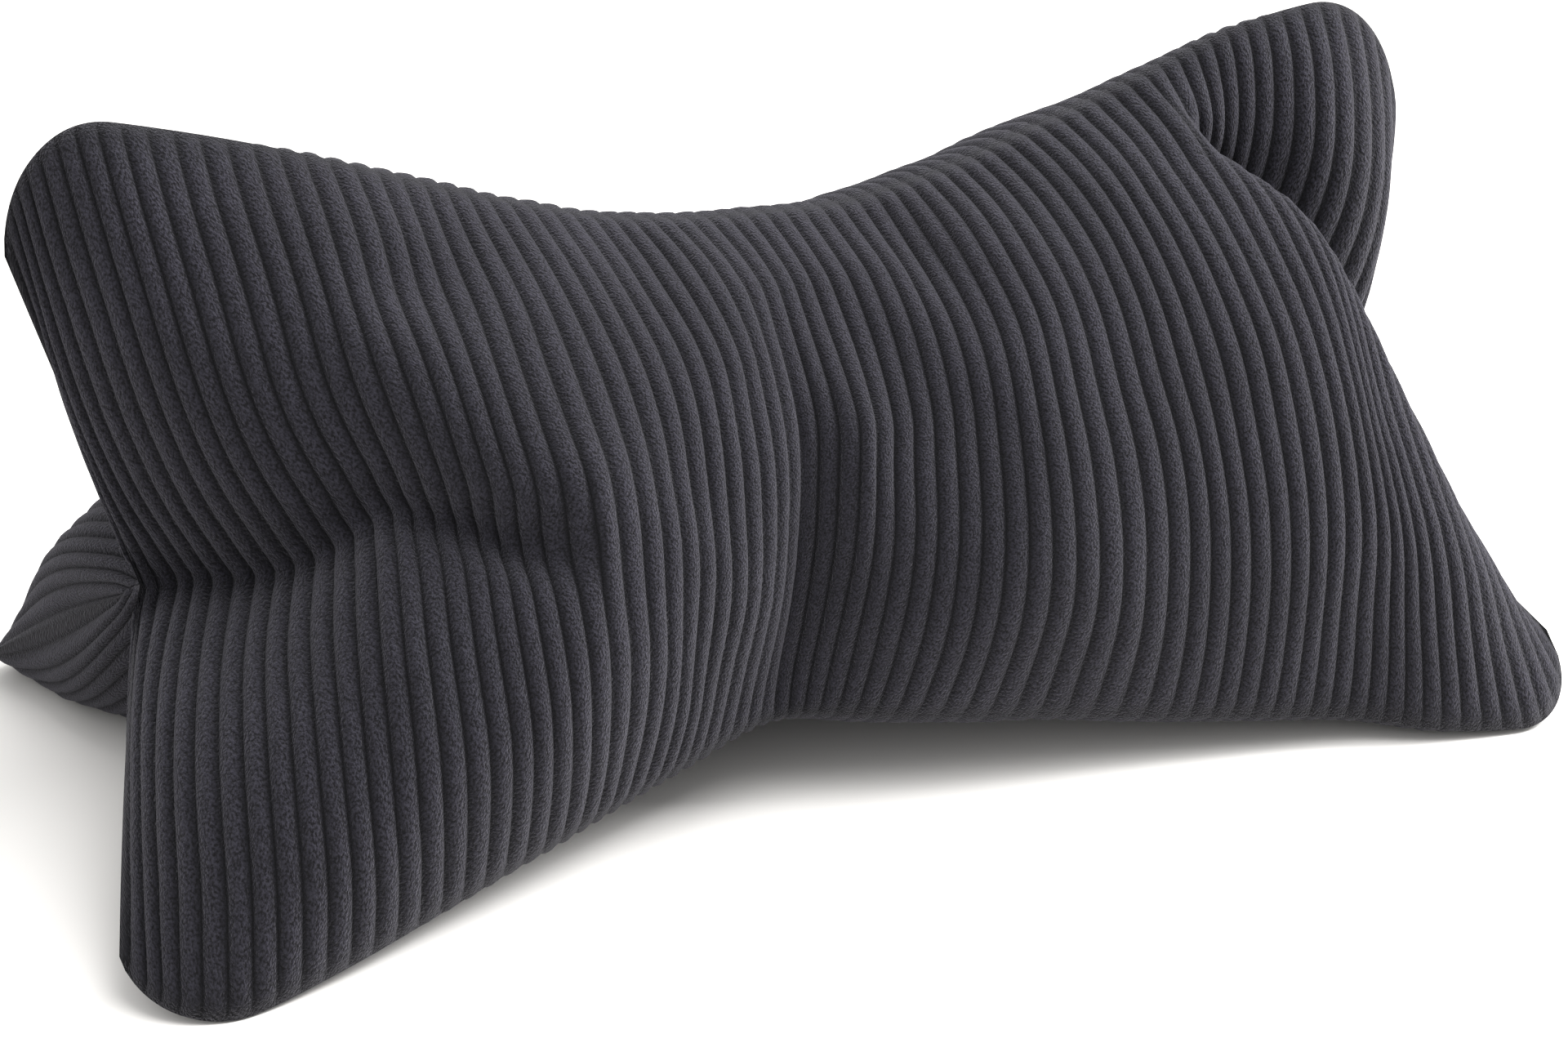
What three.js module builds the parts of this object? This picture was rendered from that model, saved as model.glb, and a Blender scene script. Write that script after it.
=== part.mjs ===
// Bone-shaped neck pillow in wide-wale corduroy, stuffed, lying on a level surface.
// Three like bone-shaped panels (front, back and base) are sewn edge to edge along three long seams.
// At each end the panels' short edges fold in the middle and meet at a notch, so three ears stand out.
// Millimetres, +Z up. X runs along the pillow, the front panel faces -Y, and Z = 0 is the resting surface.

import * as THREE from "three";

// Driving dimensions.
const WALE = 6; // width of one corduroy rib
const WALES = 74; // ribs from one end edge to the other
const HALF_CLOTH = (WALE * WALES) / 2; // from the middle of the cloth to its end edge
const FIRST_GROOVE = 1.7; // from the end edge to the first groove between two ribs
const RIB_RELIEF = 1.6; // from the bottom of a groove to the crown of a rib
const AXIS_HEIGHT = 68; // from the resting surface to the line where the notches lie
const NOTCH_LEFT = -179; // where the notch at the left end lies
const NOTCH_RIGHT = 194; // where the notch at the right end lies
const RIM_POWER = 0.62; // how abruptly an ear puffs up from its end edge
const SEAM_FADE = 0.1; // share of a half panel beside a seam over which the ribs die out
const ROWS = [0, 0.09, 0.22, 0.38, 0.57, 0.78, 1]; // rows from a panel's middle to its seam
const SLIDE_REACH = 60; // cloth over which the rows slide back from a crease
const SLIDE_MOST = 0.63; // furthest that the middle row follows it
const SEAM_HOLD = 6; // how narrowly a seam holds the cloth beside it against a crease: larger is narrower
const CREASE_POWER = 1.25; // shape of a crease's flanks: 1 ends in a sharp line, 2 in a round trough
const CREASE_ROUND = 3; // cloth that turns in the bottom of a crease
const CREASE_PINCH = 5; // extra depth in the bottom of a crease, and at most a share of its own depth
const PINCH_SHARE = 1 / 3;
const PINCH_REACH = 6;
const FOLD_RUNOUT = 1.35; // how soon the waist fold reaches its full depth
const LAST_GROOVE = 0.5; // least cloth between the last groove and the end edge
const NUDGE = 1e-3; // part of a half panel over which a slope across it is taken

// Panels face outwards 120 degrees apart, and seams lie 60 degrees to each side of a panel's face.
const SEAM_TURN = Math.PI / 3;
const SIN_TURN = Math.sin(SEAM_TURN);
const COS_TURN = Math.cos(SEAM_TURN);

// A table with named columns, a row for each station.
function table(columns, rows) {
  return { columns, rows };
}

// Long seams. p: cloth along the pillow from its middle, radius: from the axis, x: where that cloth lies.
const SEAMS = {
  top: table(
    ["p", "radius", "x"],
    [
      [-222, 131.5, -206.3],
      [-200, 131.5, -198],
      [-184, 130.5, -186],
      [-160, 125, -161],
      [-136, 117.5, -134],
      [-100, 104, -95],
      [-76, 96.5, -72],
      [-52, 90, -48],
      [-28, 86.5, -25.5],
      [2, 85, 4],
      [20, 85, 21.5],
      [44, 88, 43.5],
      [68, 93, 64.5],
      [92, 100, 86],
      [116, 108, 109],
      [142, 117, 134],
      [168, 125.5, 159],
      [190, 130, 183],
      [206, 131.5, 202],
      [222, 131.5, 220],
    ],
  ),
  front: table(
    ["p", "radius", "x"],
    [
      [-222, 137, -210],
      [-200, 137, -198],
      [-184, 136, -182.5],
      [-160, 128.5, -156],
      [-136, 119, -129.5],
      [-100, 105.5, -93],
      [-76, 97.5, -72.5],
      [-52, 90, -52.5],
      [-28, 83, -32],
      [-18, 81, -24],
      [2, 82, -9.5],
      [20, 86, 6],
      [44, 92, 31.5],
      [68, 98.5, 61],
      [92, 105.5, 92],
      [116, 111, 117.5],
      [152, 119.5, 152],
      [176, 128.5, 174],
      [200, 134, 201],
      [222, 135, 228],
    ],
  ),
  back: table(
    ["p", "radius", "x"],
    [
      [-222, 136, -210],
      [-190, 134, -187],
      [-160, 128, -158],
      [-130, 118, -128],
      [-100, 107, -99],
      [-60, 94, -59.5],
      [-30, 87, -30],
      [0, 84.5, 0],
      [30, 87, 30],
      [60, 94, 59.5],
      [100, 107, 99],
      [130, 118, 128],
      [160, 128, 158],
      [190, 134, 187],
      [222, 136, 210],
    ],
  ),
};

// Ears, a row for the left end and a row for the right. wide and high: the rounded corner, along the
// pillow and outwards from the axis, bow: below 1 the end edge bows outwards between notch and ear.
const EARS = {
  top: table(["wide", "high", "bow"], [[30, 36, 1], [36, 46, 0.3]]),
  front: table(["wide", "high", "bow"], [[26.5, 26, 0.85], [30, 34, 0.9]]),
  back: table(["wide", "high", "bow"], [[24, 22, 1], [26.5, 31, 1]]),
};

// Cross-sections. crown: from the axis to the panel's middle, upper and lower: how full each half is,
// ease and draw: cloth moved along X at mid panel and beside a crease.
const FRONT_SECTIONS = table(
  ["p", "crown", "upper", "lower", "ease", "draw"],
  [
    [-222, 68, 0.9, 2, 0, 30],
    [-200, 84, 0.85, 2.2, 0, 32.5],
    [-184, 95, 0.85, 2.5, 0, 30.5],
    [-166, 102, 0.85, 2.7, -1, 24.5],
    [-148, 103, 0.9, 2.8, -1, 17],
    [-124, 102, 1.1, 3, -1, 8.5],
    [-100, 100, 1.2, 3.1, -1, 1.5],
    [-76, 93, 1.6, 2.8, 4, 0],
    [-52, 88.5, 1.9, 2.4, 5.5, 0],
    [-30, 86.5, 2, 2.1, 6, 0],
    [-13, 85.5, 1.7, 1.8, 5, 0],
    [8, 85.5, 1.5, 2.3, 4, 0],
    [30, 87, 1.8, 2.8, 3.5, 0],
    [55, 91, 2.2, 3, 2, 0],
    [80, 91, 2.6, 2.8, 2, 0],
    [103, 93, 2.5, 2.3, 1.5, 0],
    [127, 96, 2, 2.1, 2, 1],
    [150, 94, 2.1, 2.2, 2, 0],
    [175, 86.5, 2.1, 2.8, -3, -7],
    [200, 76, 2, 3.8, -5, -17],
    [222, 66, 2, 4, 0, -24],
  ],
);
const BACK_SECTIONS = table(
  ["p", "crown", "upper", "lower", "ease", "draw"],
  [
    [-222, 65, 4, 1.9, 0, 26],
    [-200, 72, 3.4, 2, 0, 24],
    [-175, 84, 2.5, 2, 0, 18],
    [-145, 95, 2.1, 2.1, 0, 9],
    [-110, 94, 2.2, 2.2, 0, 0.6],
    [-70, 88, 2.1, 2.1, 0, 0],
    [-35, 83, 2, 2, 0, 0],
    [0, 81, 2, 2, 0, 0],
    [35, 83, 2, 2, 0, 0],
    [70, 88, 2.1, 2.1, 0, 0],
    [110, 94, 2.2, 2.2, 0, -0.6],
    [145, 95, 2.1, 2.1, 0, -9],
    [175, 90, 2, 2, 0, -18],
    [200, 80, 2, 2, 0, -24],
    [222, 66, 1.9, 1.9, 0, -26],
  ],
);
const BASE_SECTIONS = table(
  ["p", "crown", "upper", "lower", "ease", "draw"],
  [
    [-222, 70, 1.9, 6, 0, 26],
    [-200, 71, 1.9, 5, 0, 24],
    [-175, 76, 1.8, 2.6, 0, 18],
    [-145, 77, 1.7, 1.7, 0, 9],
    [-110, 76, 1.5, 1.5, 0, 0.6],
    [-70, 73, 1.35, 1.35, 0, 0],
    [-35, 71, 1.2, 1.2, 0, 0],
    [0, 70, 1.1, 1.1, 0, 0],
    [35, 71, 1.2, 1.2, 0, 0],
    [70, 73, 1.35, 1.35, 0, 0],
    [110, 76, 1.5, 1.5, 0, -0.6],
    [145, 77, 1.7, 1.7, 0, -9],
    [175, 76, 1.8, 1.8, 0, -18],
    [200, 72, 1.9, 1.9, 0, -24],
    [222, 66, 1.9, 1.9, 0, -26],
  ],
);

// Folds that run in from the notches. floor: from the axis to the bottom of the crease,
// place: of the crease across the panel, above and below: how far its two flanks reach,
// over and under: how far the cloth is drawn along with it.
const FRONT_CREASES = [
  table(
    ["p", "floor", "place", "above", "below", "over", "under"],
    [
      [-222, 0, 0, 50, 30, 38, 42],
      [-205, 10, -1, 48, 34, 38, 42],
      [-184, 28, -5, 46, 38, 34, 38],
      [-166, 47, -5.5, 44, 40, 29, 36],
      [-152, 61, -2, 40, 40, 26, 35],
      [-141, 69, 1, 34, 38, 23, 33],
      [-130, 76, -3, 28, 34, 20, 30],
      [-119, 82, -8, 24, 28, 18, 25],
      [-108, 88, -14.5, 22, 21, 17, 19],
      [-97, 92, -18, 20, 16, 16, 15],
      [-85, 97, -19.5, 18, 13, 15, 13],
    ],
  ),
  table(
    ["p", "floor", "place", "above", "below", "over", "under"],
    [
      [112, 86, 92, 14, 9, 13, 10],
      [130, 74, 82, 18, 9, 15, 10.5],
      [145, 62, 72, 21, 9, 16, 11],
      [160, 49, 61, 25, 9, 18, 11],
      [175, 36, 45, 28, 11.5, 19.5, 12],
      [190, 22, 27, 28, 20, 20, 16],
      [205, 10, 11, 28, 30, 20, 21],
      [222, 0, 0, 28, 36, 20, 24],
    ],
  ),
];
const PLAIN_CREASES = [
  table(
    ["p", "floor", "place", "above", "below", "over", "under"],
    [
      [-222, 0, 0, 46, 48, 29, 30],
      [-205, 11, 0, 43, 46, 27.5, 29],
      [-185, 28, 0, 38, 41, 25, 26.5],
      [-165, 47, 0, 32, 34, 22, 23],
      [-145, 66, 0, 25, 25, 18.5, 18.5],
      [-125, 82, 0, 19, 19, 15.5, 15.5],
      [-105, 94, 0, 15, 15, 13.5, 13.5],
    ],
  ),
  table(
    ["p", "floor", "place", "above", "below", "over", "under"],
    [
      [105, 94, 0, 15, 15, 13.5, 13.5],
      [125, 82, 0, 19, 19, 15.5, 15.5],
      [145, 66, 0, 24, 24, 18, 18],
      [165, 46, 0, 30, 30, 21, 21],
      [185, 26, 0, 35, 35, 23.5, 23.5],
      [205, 10, 0, 38, 38, 25, 25],
      [222, 0, 0, 40, 40, 26, 26],
    ],
  ),
];

// The same crease with its two flanks exchanged.
function turnedOver({ columns, rows }) {
  const turned = ([p, floor, place, above, below, over, under]) => {
    return [p, floor, -place, below, above, under, over];
  };
  return table(columns, rows.map(turned));
}

const BASE_CREASES = [turnedOver(PLAIN_CREASES[0]), PLAIN_CREASES[1]];

// The fold across the waist: a trough along the ribs, deepest at the lower seam.
const WAIST_FOLD = { p: -15, from: -73, to: 46, depth: 15, left: 17, right: 30 };

// Soft swells and hollows of the front panel. p and across: their middle, along and over: their reach
// along the pillow and across the panel, rise: outwards from the cloth around them.
const FRONT_SWELLS = table(
  ["p", "across", "along", "over", "rise"],
  [
    [-116, 56, 16, 14, -3],
    [-86, -4, 14, 14, 3],
    [3, -8, 7, 26, 3],
    [39, 52, 9, 16, -2.5],
  ],
);
const NO_SWELLS = table(["p", "across", "along", "over", "rise"], []);

// facing: direction of the panel's face, in degrees from +Y towards +Z, leftRim and rightRim: cloth that
// the panel needs to puff up from its end edges, leftHold and rightHold: cloth that those edges hold.
const PANELS = [
  {
    facing: 150,
    leftRim: 52,
    rightRim: 36,
    leftHold: 15,
    rightHold: 30,
    lowSeam: "front",
    highSeam: "top",
    sections: FRONT_SECTIONS,
    creases: FRONT_CREASES,
    folds: [WAIST_FOLD],
    swells: FRONT_SWELLS,
  },
  {
    facing: 30,
    leftRim: 28,
    rightRim: 36,
    leftHold: 30,
    rightHold: 30,
    lowSeam: "top",
    highSeam: "back",
    sections: BACK_SECTIONS,
    creases: PLAIN_CREASES,
    folds: [],
    swells: NO_SWELLS,
  },
  {
    facing: 270,
    leftRim: 26,
    rightRim: 36,
    leftHold: 36,
    rightHold: 30,
    lowSeam: "back",
    highSeam: "front",
    sections: BASE_SECTIONS,
    creases: BASE_CREASES,
    folds: [],
    swells: NO_SWELLS,
  },
];

const clamp = (value, low, high) => Math.min(high, Math.max(low, value));
const mix = (a, b, share) => a + (b - a) * share;

// A smooth curve through one column of a table, read at p.
function read({ columns, rows }, column, p) {
  const c = columns.indexOf(column);
  const last = rows.length - 1;
  const at = clamp(p, rows[0][0], rows[last][0]);
  let i = 0;
  while (i < last - 1 && rows[i + 1][0] <= at) i += 1;
  const rise = (k) => (rows[k + 1][c] - rows[k][c]) / (rows[k + 1][0] - rows[k][0]);
  const slope = (k) => {
    if (k === 0) return rise(0);
    if (k === last) return rise(last - 1);
    const before = rows[k][0] - rows[k - 1][0];
    const after = rows[k + 1][0] - rows[k][0];
    return (rise(k - 1) * after + rise(k) * before) / (before + after);
  };
  const span = rows[i + 1][0] - rows[i][0];
  const s = (at - rows[i][0]) / span;
  return (
    rows[i][c] * (1 + 2 * s) * (1 - s) ** 2 +
    span * slope(i) * s * (1 - s) ** 2 +
    rows[i + 1][c] * s * s * (3 - 2 * s) +
    span * slope(i + 1) * s * s * (s - 1)
  );
}

// A seam's place and its radius, which falls on a quarter of an ellipse at each ear's corner.
function seamAt(name, p) {
  const seam = SEAMS[name];
  const [wide, high, bow] = EARS[name].rows[p < 0 ? 0 : 1];
  const x = read(seam, "x", p);
  const reach = p < 0 ? seam.rows[0][2] : seam.rows.at(-1)[2];
  const turn = clamp(1 - Math.abs(reach - x) / wide, 0, 1);
  const radius = read(seam, "radius", p) - high * (1 - Math.sqrt(1 - turn * turn));
  return { x, radius, bow };
}

// How far the cloth at p is puffed up from the straight lines between axis and seams, from 0 to 1.
function puffAt(panel, p) {
  const rim = p < 0 ? panel.leftRim : panel.rightRim;
  const fromEnd = clamp((HALF_CLOTH - Math.abs(p)) / rim, 0, 1);
  return (1 - (1 - fromEnd) ** 2) ** RIM_POWER;
}

// The puffed panel before its creases: across and out are measured along and out of the panel's face.
// v runs from -1 at the low seam to 1 at the high seam.
function puffed(panel, p, v) {
  const high = seamAt(panel.highSeam, p);
  const low = seamAt(panel.lowSeam, p);
  const side = Math.abs(v);
  const up = (1 + v) / 2;
  const down = (1 - v) / 2;
  const crown = read(panel.sections, "crown", p);
  const power = read(panel.sections, v > 0 ? "upper" : "lower", p);
  const chord = COS_TURN * (high.radius * up + low.radius * down);
  const middle = (COS_TURN * (high.radius + low.radius)) / 2;
  const domeAcross = SIN_TURN * (high.radius * up - low.radius * down);
  const domeOut = chord + (crown - middle) * (1 - side ** power);
  const radius = (v > 0 ? high : low).radius * side;
  const puff = puffAt(panel, p);
  return {
    across: mix(SIN_TURN * radius * Math.sign(v), domeAcross, puff),
    out: mix(COS_TURN * radius, domeOut, puff),
    high,
    low,
  };
}

// The level v of a place across the panel.
function levelAt(panel, p, place) {
  const high = seamAt(panel.highSeam, p).radius;
  const low = seamAt(panel.lowSeam, p).radius;
  const puff = puffAt(panel, p);
  const offset = place - (SIN_TURN * puff * (high - low)) / 2;
  const edge = offset > 0 ? high : low;
  return offset / (SIN_TURN * mix(edge, (high + low) / 2, puff));
}

// Depth of the creases and folds at one point, and how near it lies to a crease, from 0 to 1.
function creaseAt(panel, p, v, across) {
  const fade = 1 - Math.abs(v) ** SEAM_HOLD;
  let depth = 0;
  let near = 0;
  for (const crease of panel.creases) {
    if (p < crease.rows[0][0] || p > crease.rows.at(-1)[0]) continue;
    const place = read(crease, "place", p);
    const reach = read(crease, across > place ? "above" : "below", p);
    const drawn = read(crease, across > place ? "over" : "under", p);
    const away = Math.hypot(across - place, CREASE_ROUND) - CREASE_ROUND;
    const level = levelAt(panel, p, place);
    const full = Math.max(0, puffed(panel, p, level).out - read(crease, "floor", p));
    const pinch = Math.min(CREASE_PINCH, full * PINCH_SHARE) * Math.exp(-((away / PINCH_REACH) ** 2));
    depth += fade * (full * Math.exp(-((away / reach) ** CREASE_POWER)) + pinch);
    near = fade * Math.exp(-away / drawn);
  }
  for (const fold of panel.folds) {
    const reach = p < fold.p ? fold.left : fold.right;
    const along = clamp((FOLD_RUNOUT * (fold.to - across)) / (fold.to - fold.from), 0, 1);
    const share = Math.sin((along * Math.PI) / 2) * Math.exp(-Math.abs(p - fold.p) / reach);
    depth += fold.depth * fade * share;
  }
  for (const [middle, place, alongReach, overReach, rise] of panel.swells.rows) {
    const away = ((p - middle) / alongReach) ** 2 + ((across - place) / overReach) ** 2;
    depth -= rise * fade * Math.exp(-away);
  }
  return { depth, near };
}

// A point of the smooth panel in the part's own frame.
function pointAt(panel, p, v) {
  const { across, out, high, low } = puffed(panel, p, v);
  const { depth, near } = creaseAt(panel, p, v, across);
  const ease = read(panel.sections, "ease", p) * (1 - v * v);
  const draw = read(panel.sections, "draw", p) * near;
  const free = mix(low.x, high.x, (1 + v) / 2) + ease + draw;
  const notch = p < 0 ? NOTCH_LEFT : NOTCH_RIGHT;
  const ear = v > 0 ? high : low;
  const edge = mix(notch, ear.x, Math.abs(v) ** ear.bow);
  const held = p < 0 ? panel.leftHold : panel.rightHold;
  const hold = clamp(1 - (HALF_CLOTH - Math.abs(p)) / held, 0, 1) ** 2;
  const facing = THREE.MathUtils.degToRad(panel.facing);
  const raised = Math.max(out - depth, (Math.abs(across) * COS_TURN) / SIN_TURN);
  return new THREE.Vector3(
    mix(free, edge, hold),
    raised * Math.cos(facing) + across * Math.sin(facing),
    AXIS_HEIGHT + raised * Math.sin(facing) - across * Math.cos(facing),
  );
}

// The cloth's columns: a groove, then the crown of the rib beside it, from end edge to end edge.
function columnsOfCloth() {
  const columns = [{ p: -HALF_CLOTH, relief: 0 }];
  for (let k = 0; k < WALES; k += 1) {
    const groove = -HALF_CLOTH + FIRST_GROOVE + k * WALE;
    columns.push({ p: groove, relief: -RIB_RELIEF / 2 });
    columns.push({ p: groove + WALE / 2, relief: RIB_RELIEF / 2 });
  }
  return columns.filter(({ p }) => p < HALF_CLOTH - LAST_GROOVE).concat({ p: HALF_CLOTH, relief: 0 });
}

// The rows slide so that the middle one follows the creases, and slide back beyond a crease's inner end.
function slid(panel, p, v) {
  let lead = 0;
  for (const crease of panel.creases) {
    const at = clamp(p, crease.rows[0][0], crease.rows.at(-1)[0]);
    const level = levelAt(panel, at, read(crease, "place", at));
    const share = clamp(1 - Math.abs(p - at) / SLIDE_REACH, 0, 1);
    lead += clamp(level, -SLIDE_MOST, SLIDE_MOST) * share;
  }
  return v + lead * (1 - Math.abs(v)) ** (v * lead < 0 ? 2 : 1);
}

// A panel's points: the smooth surface, raised and sunk by its ribs, pressed flat on the resting surface.
function panelPoints(panel, columns, rows) {
  return columns.map(({ p, relief }) =>
    rows.map((row) => {
      const v = slid(panel, p, row);
      const point = pointAt(panel, p, v);
      const fade = clamp((1 - Math.abs(v)) / SEAM_FADE, 0, 1);
      if (relief !== 0 && fade > 0) {
        const along = pointAt(panel, p + WALE / 2, v).sub(pointAt(panel, p - WALE / 2, v));
        const over = pointAt(panel, p, v + NUDGE).sub(pointAt(panel, p, v - NUDGE));
        point.addScaledVector(along.cross(over).normalize(), relief * fade);
      }
      point.z = Math.max(0, point.z);
      return point;
    }),
  );
}

// The name of one grid point. Panels share the points of their seams, of their folded end edges and
// of the two notches, so the same name stands for the same point.
function pointName(panel, i, j, columns, rows) {
  const v = rows[j];
  const seam = v < 0 ? panel.lowSeam : panel.highSeam;
  const end = i === 0 || i === columns.length - 1;
  if (end && v === 0) return `notch ${i}`;
  if (end) return `${seam} end ${i} ${Math.abs(v)}`;
  if (Math.abs(v) === 1) return `${seam} seam ${i}`;
  return `facing ${panel.facing} ${i} ${j}`;
}

// The whole pillow as one closed surface, its middle over the origin.
function pillowGeometry() {
  const columns = columnsOfCloth();
  const rows = [...ROWS.slice(1).map((v) => -v).reverse(), ...ROWS];
  const numbers = new Map();
  const positions = [];
  const faces = [];
  for (const panel of PANELS) {
    const grid = panelPoints(panel, columns, rows);
    const number = grid.map((column, i) =>
      column.map((point, j) => {
        const name = pointName(panel, i, j, columns, rows);
        if (!numbers.has(name)) {
          numbers.set(name, numbers.size);
          positions.push(...point.toArray());
        }
        return numbers.get(name);
      }),
    );
    for (let i = 0; i + 1 < columns.length; i += 1) {
      for (let j = 0; j + 1 < rows.length; j += 1) {
        const near = [number[i][j], number[i][j + 1]];
        const far = [number[i + 1][j], number[i + 1][j + 1]];
        faces.push(near[0], far[0], far[1], near[0], far[1], near[1]);
      }
    }
  }
  const geometry = new THREE.BufferGeometry();
  geometry.setAttribute("position", new THREE.Float32BufferAttribute(positions, 3));
  geometry.setIndex(faces);
  geometry.computeBoundingBox();
  const middle = geometry.boundingBox.getCenter(new THREE.Vector3());
  geometry.translate(-middle.x, -middle.y, 0);
  geometry.computeVertexNormals();
  return geometry;
}

const corduroy = new THREE.MeshStandardMaterial({
  name: "charcoal corduroy",
  color: 0x39383e,
  roughness: 0.95,
  metalness: 0,
});

const pillow = new THREE.Group();
const body = new THREE.Mesh(pillowGeometry(), corduroy);
body.name = "bone_pillow";
pillow.add(body);

export default pillow;
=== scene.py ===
import math

import bpy
import numpy as np
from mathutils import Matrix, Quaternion, Vector


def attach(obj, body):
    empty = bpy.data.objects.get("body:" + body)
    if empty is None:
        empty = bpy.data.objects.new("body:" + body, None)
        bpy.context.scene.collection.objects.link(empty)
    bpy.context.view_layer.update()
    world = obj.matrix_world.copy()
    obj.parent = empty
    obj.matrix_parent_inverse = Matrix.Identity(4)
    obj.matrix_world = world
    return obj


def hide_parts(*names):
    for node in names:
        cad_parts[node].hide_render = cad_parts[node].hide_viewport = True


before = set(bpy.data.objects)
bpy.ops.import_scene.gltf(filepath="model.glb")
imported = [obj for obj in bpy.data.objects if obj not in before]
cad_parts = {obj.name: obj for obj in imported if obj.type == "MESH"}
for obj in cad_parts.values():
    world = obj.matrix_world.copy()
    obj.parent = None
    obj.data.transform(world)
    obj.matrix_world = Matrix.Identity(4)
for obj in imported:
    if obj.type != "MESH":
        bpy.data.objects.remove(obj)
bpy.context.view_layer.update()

# The camera stands where the photograph was taken from, in metres.
CAMERA_PLACE = (-0.3132, -0.6998, 0.3701)
CAMERA_VIEW = (0.3791, 0.8429, -0.3818)
CAMERA_ROLL = 0.0058
CAMERA_LENS = 63.96  # millimetres, on a sensor of the width below
SENSOR_WIDTH = 36


def camera_of_the_photograph():
    """A camera at its place, looking along its view, turned by its roll about that view."""
    data = bpy.data.cameras.new("camera")
    data.lens = CAMERA_LENS
    data.sensor_width = SENSOR_WIDTH
    camera = bpy.data.objects.new("camera", data)
    level = Vector(CAMERA_VIEW).to_track_quat("-Z", "Y")
    camera.rotation_mode = "QUATERNION"
    camera.rotation_quaternion = level @ Quaternion((0, 0, 1), CAMERA_ROLL)
    camera.location = CAMERA_PLACE
    bpy.context.scene.collection.objects.link(camera)
    bpy.context.scene.camera = camera


camera_of_the_photograph()

# The pillow's cloth, in millimetres: the same named values and tables as the part's solid.
MM = 0.001
WALE = 6.0  # width of one corduroy rib
WALES = 74  # ribs from one end edge to the other
HALF_CLOTH = WALE * WALES / 2  # from the middle of the cloth to its end edge
HALF_PANEL = 105.0  # cloth from a panel's middle to its seam, in the mean
FIRST_GROOVE = 1.7  # from the end edge to the first groove
AXIS_HEIGHT = 68.0  # from the resting surface to the line where the notches lie
NOTCH_X = (179.0, 194.0)  # from the middle to the notch at the left end and at the right
MIDDLE = (9.0, -0.949)  # middle of the pillow's box, which lies over the origin
RIM_POWER = 0.62  # how abruptly an ear puffs up from its end edge

# Creases. A seam holds the cloth beside it against them, the more narrowly the larger SEAM_HOLD is.
SEAM_HOLD = 6
CREASE_POWER = 1.25  # shape of a crease's flanks: 1 ends in a sharp line, 2 in a round trough
CREASE_ROUND = 3.0  # cloth that turns in the bottom of a crease
CREASE_PINCH = 5.0  # extra depth in the bottom of a crease, and at most a share of its own depth
PINCH_SHARE = 1 / 3
PINCH_REACH = 6.0
FOLD_RUNOUT = 1.35  # how soon the waist fold reaches its full depth
SLIDE_MOST = 0.63  # furthest level to which the middle row follows a crease
SLIDE_REACH = 60.0  # cloth over which the rows slide back beyond it

# Ribs. They die out beside seams and end edges, and run a little unevenly.
RIB_RELIEF = 1.6  # from the bottom of a groove to the crown of a rib
RIB_POWER = 2.6  # shape of a rib: 2 is a parabola, and larger is flatter on top
# The seam and end fades also carry the painted groove shade over the cloth beside the seams and end edges.
SEAM_FADE = 7.0
SEAM_FADE_POWER = 0.8
END_FADE = 1.5
PILE_UNEVEN = 0.16  # most that the pile stands higher or lower
PILE_STEP = 9
PILE_SEED = 11
WANDER = 0.55  # most that a rib strays sideways
WANDER_STEP = 26
WANDER_SEED = 41
WANDER_HOLD = 8  # how narrowly a seam holds the ribs
WANDER_END = 12.0
SEAM_SINK = 1.4  # how deep the stitches draw the seam in, and how far beside it they do
SINK_REACH = 2.4

SIN_TURN = math.sin(math.pi / 3)
COS_TURN = math.cos(math.pi / 3)

# p: cloth along the pillow from its middle, radius: from the axis, x: where that cloth lies.
SEAM_COLUMNS = ("p", "radius", "x")
SEAMS = {
    "top": [
        (-222, 131.5, -206.3),
        (-200, 131.5, -198),
        (-184, 130.5, -186),
        (-160, 125, -161),
        (-136, 117.5, -134),
        (-100, 104, -95),
        (-76, 96.5, -72),
        (-52, 90, -48),
        (-28, 86.5, -25.5),
        (2, 85, 4),
        (20, 85, 21.5),
        (44, 88, 43.5),
        (68, 93, 64.5),
        (92, 100, 86),
        (116, 108, 109),
        (142, 117, 134),
        (168, 125.5, 159),
        (190, 130, 183),
        (206, 131.5, 202),
        (222, 131.5, 220),
    ],
    "front": [
        (-222, 137, -210),
        (-200, 137, -198),
        (-184, 136, -182.5),
        (-160, 128.5, -156),
        (-136, 119, -129.5),
        (-100, 105.5, -93),
        (-76, 97.5, -72.5),
        (-52, 90, -52.5),
        (-28, 83, -32),
        (-18, 81, -24),
        (2, 82, -9.5),
        (20, 86, 6),
        (44, 92, 31.5),
        (68, 98.5, 61),
        (92, 105.5, 92),
        (116, 111, 117.5),
        (152, 119.5, 152),
        (176, 128.5, 174),
        (200, 134, 201),
        (222, 135, 228),
    ],
    "back": [
        (-222, 136, -210),
        (-190, 134, -187),
        (-160, 128, -158),
        (-130, 118, -128),
        (-100, 107, -99),
        (-60, 94, -59.5),
        (-30, 87, -30),
        (0, 84.5, 0),
        (30, 87, 30),
        (60, 94, 59.5),
        (100, 107, 99),
        (130, 118, 128),
        (160, 128, 158),
        (190, 134, 187),
        (222, 136, 210),
    ],
}

# Each seam's left and right ear. wide and high: its rounded corner, along the pillow and outwards,
# bow: below 1 the end edge bows outwards between its notch and its ear.
EAR_COLUMNS = ("wide", "high", "bow")
EARS = {
    "top": [(30, 36, 1.0), (36, 46, 0.3)],
    "front": [(26.5, 26, 0.85), (30, 34, 0.9)],
    "back": [(24, 22, 1.0), (26.5, 31, 1.0)],
}

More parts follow.
